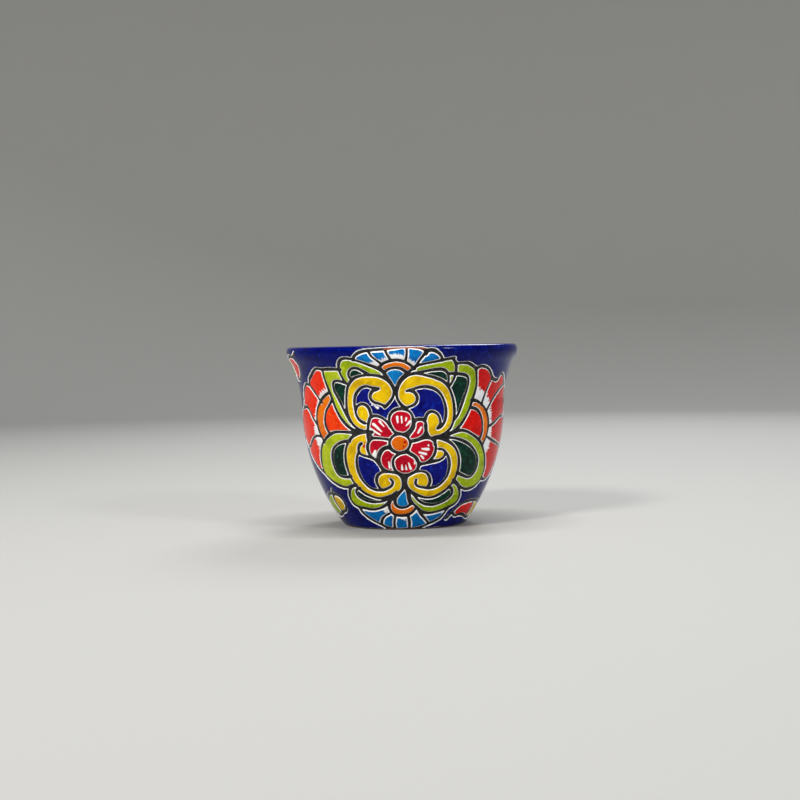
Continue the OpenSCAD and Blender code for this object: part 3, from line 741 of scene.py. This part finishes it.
def surface_material(name, group, values, relief, **shader):
    """Principled material fed by a colour group."""
    material = bpy.data.materials.new(name)
    material.use_nodes = True
    tree = material.node_tree
    tree.nodes.clear()
    look = add(tree, "Group", node_tree=group)
    for key, value in values.items():
        look.inputs[key].default_value = value
    body = add(tree, "BsdfPrincipled")
    for key, value in shader.items():
        body.inputs[key.replace("_", " ")].default_value = value
    bump = add(tree, "Bump", Strength=0.6, Distance=relief * MM)
    wire(tree, look.outputs["Height"], bump.inputs["Height"])
    wire(tree, bump.outputs["Normal"], body.inputs["Normal"])
    wire(tree, look.outputs["Colour"], body.inputs["Base Color"])
    wire(tree, look.outputs["Roughness"], body.inputs["Roughness"])
    wire(tree, body.outputs[0], add(tree, "OutputMaterial").inputs[0])
    return material


# ---- what each look is made of ----
ENAMEL = enamel_group()
CLAY = clay_group()
GLOSS = {"IOR": 1.5, "Specular_IOR_Level": 0.12}
ENAMEL_RELIEF, CLAY_RELIEF = 0.12, 0.25
INPUTS = {"bare": "Bare Width", "feather": "Feather", "mottle": "Mottle"}
CHALK = (248, 248, 250), (228, 228, 234), (254, 254, 252)


def enamel(name, colours, brushed=None, **settings):
    """Enamel from its colour, thick and thin, with a brushed colour and its thick."""
    values = dict(zip(("Colour", "Thick Colour", "Thin Colour"), (linear(*c) for c in colours)))
    if brushed:
        values.update(zip(("Brushed Colour", "Brushed Thick"), (linear(*c) for c in brushed)))
    values.update((INPUTS[key], value) for key, value in settings.items())
    return surface_material(name, ENAMEL, values, ENAMEL_RELIEF, **GLOSS)


def make_looks():
    return {
        "disc": enamel("orange_disc", ((226, 106, 2), (200, 74, 0), (240, 146, 30)),
                       ((190, 20, 0), (160, 10, 0)), bare=0.65, feather=0.4),
        "petal": enamel("crimson_petal", ((200, 0, 34), (158, 0, 24), (220, 22, 56)),
                        bare=0.75, feather=0.35, mottle=0.8),
        "scroll": enamel("yellow_scroll", ((238, 196, 0), (200, 156, 0), (252, 218, 8)),
                         ((214, 52, 4), (186, 30, 0)), bare=0.6, feather=0.3, mottle=0.9),
        "cobalt": enamel("cobalt_field", ((0, 10, 118), (0, 0, 76), (4, 40, 158)),
                         bare=0.45, mottle=0.85),
        "ground": enamel("cobalt_ground", ((0, 8, 98), (0, 0, 62), (4, 38, 146)),
                         bare=0.65, mottle=0.6),
        "leaf": enamel("lime_leaf", ((162, 184, 0), (124, 150, 0), (198, 214, 48)),
                       bare=0.5, mottle=0.85),
        "pale_leaf": enamel("pale_lime_leaf", ((182, 198, 20), (148, 170, 4), (206, 218, 64)),
                            bare=0.5, mottle=0.85),
        "heart": enamel("green_heart", ((0, 44, 34), (0, 24, 22), (4, 82, 50)),
                        bare=0.5, mottle=0.85),
        "wedge": enamel("sky_wedge", ((0, 122, 196), (0, 90, 166), (34, 154, 214)),
                        bare=0.5, mottle=0.8),
        "arc": enamel("orange_arc", ((240, 118, 4), (214, 88, 0), (248, 150, 40)),
                      bare=0.35, mottle=0.7),
        "sky_petal": enamel("sky_petal", CHALK, ((0, 122, 198), (0, 86, 160)),
                            bare=1.0, feather=2.2),
        "red_petal": enamel("red_petal", CHALK, ((216, 6, 4), (184, 0, 6)),
                            bare=0.6, feather=4.0),
        "flame_petal": enamel("flame_petal", CHALK, ((246, 48, 0), (226, 26, 0)),
                              bare=0.6, feather=4.0),
        "red": enamel("red_field", ((224, 4, 0), (190, 0, 2), (238, 38, 12)),
                      bare=0.5, mottle=0.8),
        "flame": enamel("flame_field", ((246, 62, 0), (222, 34, 0), (252, 100, 20)),
                        bare=0.5, mottle=0.8),
        "line": enamel("carved_line", ((44, 42, 43), (26, 24, 25), (72, 69, 70)),
                       ((150, 84, 62), (104, 56, 42)), bare=-9.0, feather=0.8, mottle=0.9),
        "clay": surface_material("red_clay", CLAY, {}, CLAY_RELIEF),
    }


LOOKS = make_looks()


# ---- meshes ----
def mesh_piece(name, points, faces, look, node, layers):
    """Smooth mesh from points in metres, with a value or vector per point in each layer."""
    mesh = bpy.data.meshes.new(name)
    mesh.from_pydata([tuple(p) for p in points], [], [tuple(int(i) for i in f) for f in faces])
    for layer, values in layers.items():
        values = np.asarray(values, np.float32)
        if values.ndim == 1:
            mesh.attributes.new(layer, "FLOAT", "POINT").data.foreach_set("value", values)
        else:
            vectors = mesh.attributes.new(layer, "FLOAT_VECTOR", "POINT").data
            vectors.foreach_set("vector", values.ravel())
    mesh.polygons.foreach_set("use_smooth", np.ones(len(mesh.polygons), bool))
    mesh.materials.append(LOOKS[look])
    mesh.validate()
    piece = bpy.data.objects.new(name, mesh)
    bpy.context.scene.collection.objects.link(piece)
    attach(piece, "root")
    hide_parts(node)


def to_segment(p, a, b, width_a, width_b):
    """How far inside a tapering brush mark each point lies."""
    t = np.clip((p - a) @ (b - a) / ((b - a) @ (b - a)), 0, 1)
    return width_a + (width_b - width_a) * t - np.hypot(*(p - a - t[:, None] * (b - a)).T)


# Brush value where nothing is painted over, and edge value well inside a field.
UNPAINTED, DEEP = -9.0, 6.0


def brushwork(name, flat, side):
    """Second colour and brush direction at each point: mm inside the mark, along, across."""
    middle = {"flower_petals": FLOWER_C, "flower_disc": FLOWER_C}.get(name)
    inside = np.full(len(flat), UNPAINTED)
    if name in FANS:
        middle, limit = FANS[name]
    along = flat[:, 1] * 0.7 + flat[:, 0] * 0.7
    across = flat[:, 0] * 0.7 - flat[:, 1] * 0.7
    if middle:
        centre = vary([middle], side)[0]
        away = flat - centre
        along = np.hypot(*away.T)
        upright = -1 if name.startswith("bottom") else 1
        bearing = np.arctan2(away[:, 0], away[:, 1] * upright)
        across = bearing * 30
        if name in FANS:
            inside = along - limit - 1.5 * np.sin(bearing * 7 + 1)
    for start, stop, wide, narrow in MARKS.get(name, []):
        a, b = vary([start, stop], side)
        inside = np.maximum(inside, to_segment(flat, a, b, wide, narrow))
    for dot, radius in DOTS.get(name, []):
        inside = np.maximum(inside, radius - np.hypot(*(flat - vary([dot], side)[0]).T))
    return np.stack([inside, along, across], -1)


def field_label(labels, seed, side):
    """Number of the field at a seed point, or of the one nearest to it."""
    u, v = vary([seed], side)[0]
    i, j = np.argmin(np.abs(RASTER_U - u)), np.argmin(np.abs(RASTER_V - v))
    for reach in range(12):
        found = labels[max(j - reach, 0):j + reach + 1, max(i - reach, 0):i + reach + 1]
        if found.any():
            return int(found[found > 0][0])
    raise ValueError(f"no field at {seed}")


def make_field(row, side, distance, labels):
    """One coloured piece: its puddles together, with halo distance and brushwork."""
    name, node, slot, look, step, seeds = row
    flats, faces, edges, base = [], [], [], 0
    for label in dict.fromkeys(field_label(labels, seed, side) for seed in seeds):
        flat, triangles, edge = puddle(distance, labels, label, step)
        flats.append(flat)
        faces.append(triangles + base)
        edges.append(edge)
        base += len(flat)
    flat, edge = np.vstack(flats), np.concatenate(edges)
    layers = {"edge": np.minimum(edge, DEEP), "brush": brushwork(name, flat, side)}
    points = on_pot(flat[:, 0], flat[:, 1], puddle_depth(edge), side)
    cad = node if node in SHARED_NODES else f"{side}_{node}"
    mesh_piece(f"{side}_{name}_enamel", points, np.vstack(faces), look, cad, layers)


BED_COLUMNS, BED_ROWS = 541, (0.4, 197.6, 0.58)


def make_bed(side, distance):
    """The carved lines' dark floor, only where the enamel leaves it bare."""
    us = np.linspace(-HALF_TURN, HALF_TURN, BED_COLUMNS)
    grid_u, grid_v = np.meshgrid(us, np.arange(*BED_ROWS))
    edge = Patch(distance).at(grid_u.ravel(), grid_v.ravel())
    number = np.arange(edge.size).reshape(grid_u.shape)
    quads = np.stack([number[:-1, :-1], number[:-1, 1:], number[1:, 1:], number[1:, :-1]], -1)
    quads = quads.reshape(-1, 4)
    quads = quads[edge[quads].min(1) < 0.5]
    used, quads = np.unique(quads, return_inverse=True)
    quads = quads.reshape(-1, 4)
    u, v, edge = grid_u.ravel()[used], grid_v.ravel()[used], edge[used]
    # the glaze is worn to the clay on the lip, over the top fan
    worn = np.minimum(np.minimum(u + 15, 19 - u) * 0.5, (v - 190.2) * 1.5)
    layers = {"edge": edge, "brush": np.stack([np.clip(worn, UNPAINTED, 2), v, u], -1)}
    mesh_piece(f"{side}_carved_lines", on_pot(u, v, bed_depth(edge), side), quads,
               "line", "line_glaze", layers)


def turned(r):
    """Directions and quads of a turned surface: a row per ring, a column per direction."""
    count = r.shape[1]
    number = np.arange(r.size).reshape(r.shape)
    right = np.roll(number, -1, 1)
    quads = np.stack([number[:-1], right[:-1], right[1:], number[1:]], -1).reshape(-1, 4)
    return np.arange(count) * 2 * math.pi / count, quads


def round_points(r, z, angle):
    """Points of a turned surface, with direction 0 at the front."""
    return np.stack([r * np.sin(angle), -r * np.cos(angle), z], -1).reshape(-1, 3)


def ring_mesh(r, z):
    """Points and quads of the thrown pot's turned surfaces."""
    angle, quads = turned(r)
    r = r + thrown(angle, z) * np.clip(r / 60, 0, 1)
    return round_points(r, z, angle) * MM, quads


def corner(r, z, radius, start, stop, steps=5):
    """Rows of a rounded corner between two directions in degrees."""
    turn = np.radians(np.linspace(start, stop, steps))
    return [(r + radius * math.cos(t), z + radius * math.sin(t)) for t in turn]


def inner_r(z):
    """Radius of the inside wall at height z."""
    return float(outer_r(z)) - SKIN - WALL


CLAY_COLUMNS, RIM_COLUMNS, FLOOR_COLUMNS = 288, 432, 96
# The rim glaze starts at this height inside and ends about this far under the lip.
RIM_START, RIM_DROP = 187.0, 30


def make_clay():
    """Clay body: drain hole, floor, inside wall, wall under the glaze, foot ring and recess."""
    low = FLOOR_Z + FLOOR_CORNER
    rows = [(DRAIN_R, RECESS_Z + 1), (DRAIN_R, FLOOR_Z - 1)]
    rows += corner(DRAIN_R + 1, FLOOR_Z - 1, 1, 180, 90)
    floor_r = inner_r(low) - FLOOR_CORNER
    rows += [(r, FLOOR_Z + 0.12 * math.sin(r * 0.8)) for r in np.linspace(14, floor_r, 24)]
    rows += corner(floor_r, low, FLOOR_CORNER, -86, -4, 8)
    rows += [(inner_r(z) + 0.18 * math.sin(z * 0.75), z) for z in np.arange(low, 188, 1.5)]
    rows += [(inner_r(188) + 3, 190), (LIP_R - 6, 190)]
    rows += [(float(outer_r(z)) - SKIN - 0.2, z) for z in np.arange(187, 4, -3)]
    rows += [(float(outer_r(z)) - d, z) for z, d in ((3.0, 1.7), (1.8, 1.2), (1.1, 0.8))]
    rows += corner(FOOT_R - 1.5, 0.9, 0.9, -8, -90)
    foot_in = FOOT_R - SKIN - FOOT_RING
    rows += corner(foot_in + 1.5, 1.5, 1.5, -90, -180)
    rows += [(foot_in - 0.5, RECESS_Z), (DRAIN_R + 1, RECESS_Z), (DRAIN_R, RECESS_Z + 1)]
    r, z = (np.repeat(a[:, None], CLAY_COLUMNS, 1) for a in np.array(rows, float).T)
    points, quads = ring_mesh(r, z)
    layers = {"edge": np.full(len(points), DEEP)}
    mesh_piece("red_clay_body", points, quads[:, ::-1], "clay", "clay_body", layers)


def make_rim():
    """Cobalt glaze over the top of the lip and down inside, ending in runs."""
    angle = np.arange(RIM_COLUMNS) * 2 * math.pi / RIM_COLUMNS
    v = np.arange(197.0, 208.0, 0.5)
    r, z, nr, nz = (np.interp(v, PROFILE[0], a) for a in PROFILE[1:])
    sink = np.where(v < 198.2, 0.12, 0.0)
    over_r, over_z = (np.repeat(a[:, None], RIM_COLUMNS, 1) for a in (r - sink * nr, z - sink * nz))
    low = LIP_Z - RIM_DROP + 2.0 * np.sin(4 * angle + 1) + 1.2 * np.sin(9 * angle + 2)
    low = low - 9 * np.clip(np.sin(13 * angle) - 0.6, 0, 1)
    low = low - 5 * np.clip(np.sin(31 * angle + 2) - 0.75, 0, 1)
    share = np.linspace(0, 1, 28)[:, None] ** 0.8
    down_z = RIM_START + (low - RIM_START) * share
    above_end = down_z - low
    down_r = outer_r(down_z) - SKIN - WALL - 0.8 * (1 - np.exp(-above_end / 0.8)) + 0.25
    r, z = np.vstack([over_r, down_r]), np.vstack([over_z, down_z])
    points, quads = ring_mesh(r, z)
    edge = np.vstack([np.full(over_r.shape, DEEP), np.minimum(above_end, DEEP) + 0.2]).ravel()
    brush = np.stack([np.full(edge.size, UNPAINTED), z.ravel(), np.tile(angle * 100, len(r))], -1)
    layers = {"edge": edge, "brush": brush}
    mesh_piece("rim_enamel", points, quads, "ground", "rim_glaze", layers)


def make_pot():
    make_clay()
    make_rim()
    for side in SIDES:
        distance = line_distance(side)
        labels = number_fields(distance)
        make_bed(side, distance)
        for row in FIELDS:
            make_field(row, side, distance, labels)


# ---- studio ----
def make_floor():
    """Pale round sweep: floor, bend and wall, the same from every side."""
    rows = [(0.0, 0.0), (1.0, 0.0), (2.6, 0.0)]
    rows += [(2.6 + math.sin(t), 1 - math.cos(t)) for t in np.linspace(0.1, math.pi / 2, 14)]
    rows += [(3.6, 3.4)]
    r, z = (np.repeat(a[:, None], FLOOR_COLUMNS, 1) for a in np.array(rows).T)
    angle, quads = turned(r)
    points = round_points(r, z, angle)
    mesh = bpy.data.meshes.new("studio_floor")
    mesh.from_pydata(points.tolist(), [], quads.tolist())
    mesh.validate()
    mesh.polygons.foreach_set("use_smooth", np.ones(len(mesh.polygons), bool))
    material = bpy.data.materials.new("studio_paper")
    material.use_nodes = True
    body = material.node_tree.nodes["Principled BSDF"]
    body.inputs["Base Color"].default_value = linear(174, 173, 170)
    body.inputs["Roughness"].default_value = 0.85
    mesh.materials.append(material)
    floor = bpy.data.objects.new("studio_floor", mesh)
    bpy.context.scene.collection.objects.link(floor)


# Softboxes turned to the pot: name, place, size, watts, colour.
LIT_POINT = (0, 0, 0.1)
SOFTBOXES = [
    ("overhead", (0.0, 0.0, 2.3), (1.5, 0.25), 36, (1, 1, 1)),
    ("key_left", (-1.5, -2.0, 1.9), (0.5, 0.5), 61, (1, 0.98, 0.95)),
    ("fill_right", (1.9, -1.8, 1.5), (0.5, 0.5), 26, (0.93, 0.97, 1)),
    ("back", (0.6, 2.0, 1.8), (0.9, 0.9), 30, (0.95, 0.98, 1)),
]


def make_light():
    world = bpy.data.worlds.new("studio_world")
    world.use_nodes = True
    sky = world.node_tree.nodes["Background"]
    sky.inputs["Color"].default_value = (0.86, 0.92, 1.0, 1)
    sky.inputs["Strength"].default_value = 0.18
    bpy.context.scene.world = world
    bpy.context.scene.view_settings.view_transform = "Standard"
    for name, place, size, power, colour in SOFTBOXES:
        light = bpy.data.lights.new(name, "AREA")
        light.shape = "RECTANGLE"
        light.size, light.size_y = size
        light.energy = power
        light.color = colour
        lamp = bpy.data.objects.new(name, light)
        lamp.location = place
        facing = Vector(LIT_POINT) - Vector(place)
        lamp.rotation_euler = facing.to_track_quat("-Z", "Y").to_euler()
        bpy.context.scene.collection.objects.link(lamp)


# Place in metres, then yaw, pitch and roll in degrees.
CAMERA_PLACE, CAMERA_TURN = (0, -1.7, 0.1986), (-0.098, 2.1425, -1.105)
SENSOR, LENS = 36, 69.7


def make_camera():
    """A long lens level with the lip, looking slightly down and leaning a little to one side."""
    yaw, pitch, roll = (math.radians(a) for a in CAMERA_TURN)
    level = math.cos(pitch)
    ahead = Vector((math.sin(yaw) * level, math.cos(yaw) * level, -math.sin(pitch)))
    right = Vector((math.cos(yaw), -math.sin(yaw), 0))
    up = right.cross(ahead)
    right, up = (right * math.cos(roll) + up * math.sin(roll),
                 up * math.cos(roll) - right * math.sin(roll))
    data = bpy.data.cameras.new("camera")
    data.sensor_width = SENSOR
    data.lens = LENS
    camera = bpy.data.objects.new("camera", data)
    turn = Matrix((right, up, -ahead)).transposed().to_4x4()
    camera.matrix_world = Matrix.Translation(CAMERA_PLACE) @ turn
    bpy.context.scene.collection.objects.link(camera)
    bpy.context.scene.camera = camera


make_pot()
make_floor()
make_light()
make_camera()
